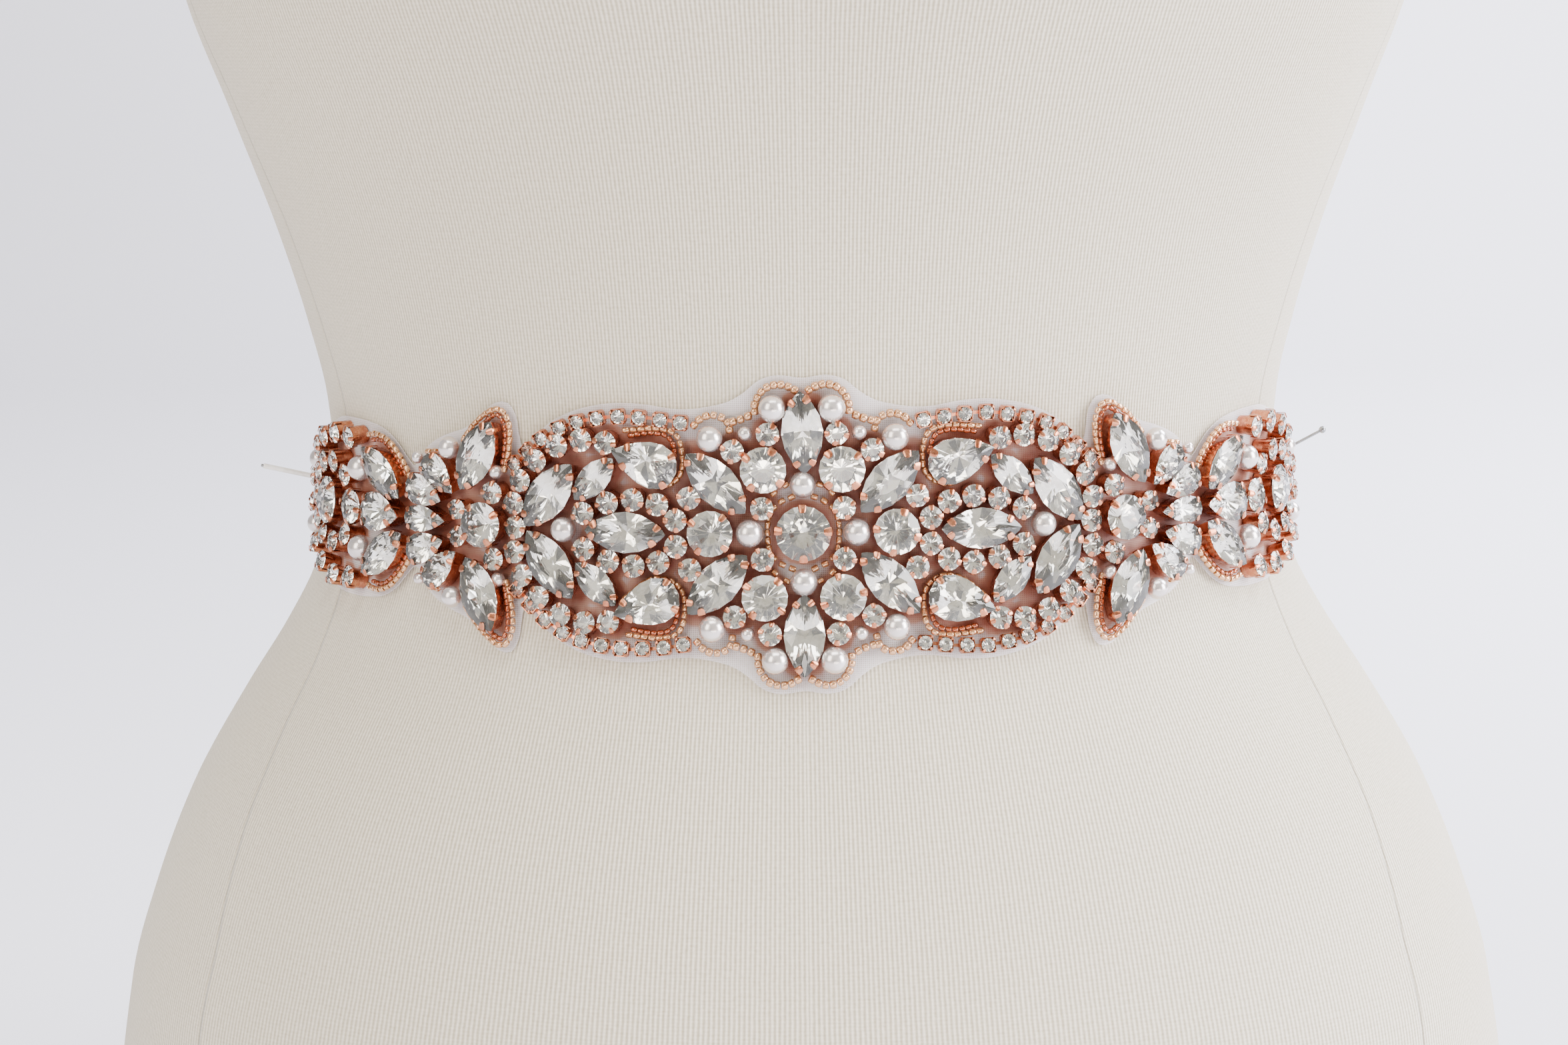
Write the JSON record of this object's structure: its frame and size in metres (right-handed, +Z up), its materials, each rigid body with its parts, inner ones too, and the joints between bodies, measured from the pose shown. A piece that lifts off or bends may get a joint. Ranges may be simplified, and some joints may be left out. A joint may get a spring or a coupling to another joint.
{
  "type": "bridal sash on a dress form",
  "caption": "Crystal and pearl bridal sash on an organza ground, pinned round the waist of a limbless jersey dress form that stands on a flat board.",
  "frame": {"origin": "centre of the overall box at the level of the board's underside", "axes": "+Z up along the form, -Y out of the form's front, +X to the viewer's right from the front"},
  "size_m": [0.348, 0.2494, 0.6876],
  "materials": {
    "jersey": "matt ribbed knit",
    "beech": "satin",
    "organza": "sheer",
    "rose_gold": "bright plated",
    "pin_steel": "bright",
    "crystal": "cut and foiled",
    "pearl": "nacre",
    "seed_bead": "metal lined"
  },
  "bodies": {
    "root": {"form_torso": "jersey", "form_neck_cap": "beech", "form_base": "beech", "sash_backing": "organza", "motif_centre": "rose_gold", "motif_lobe_left": "rose_gold", "motif_lobe_right": "rose_gold", "motif_fan_left": "rose_gold", "motif_fan_right": "rose_gold", "motif_end_left": "rose_gold", "motif_end_right": "rose_gold", "pin_left": "pin_steel", "pin_right": "pin_steel"}
  },
  "joints": []
}
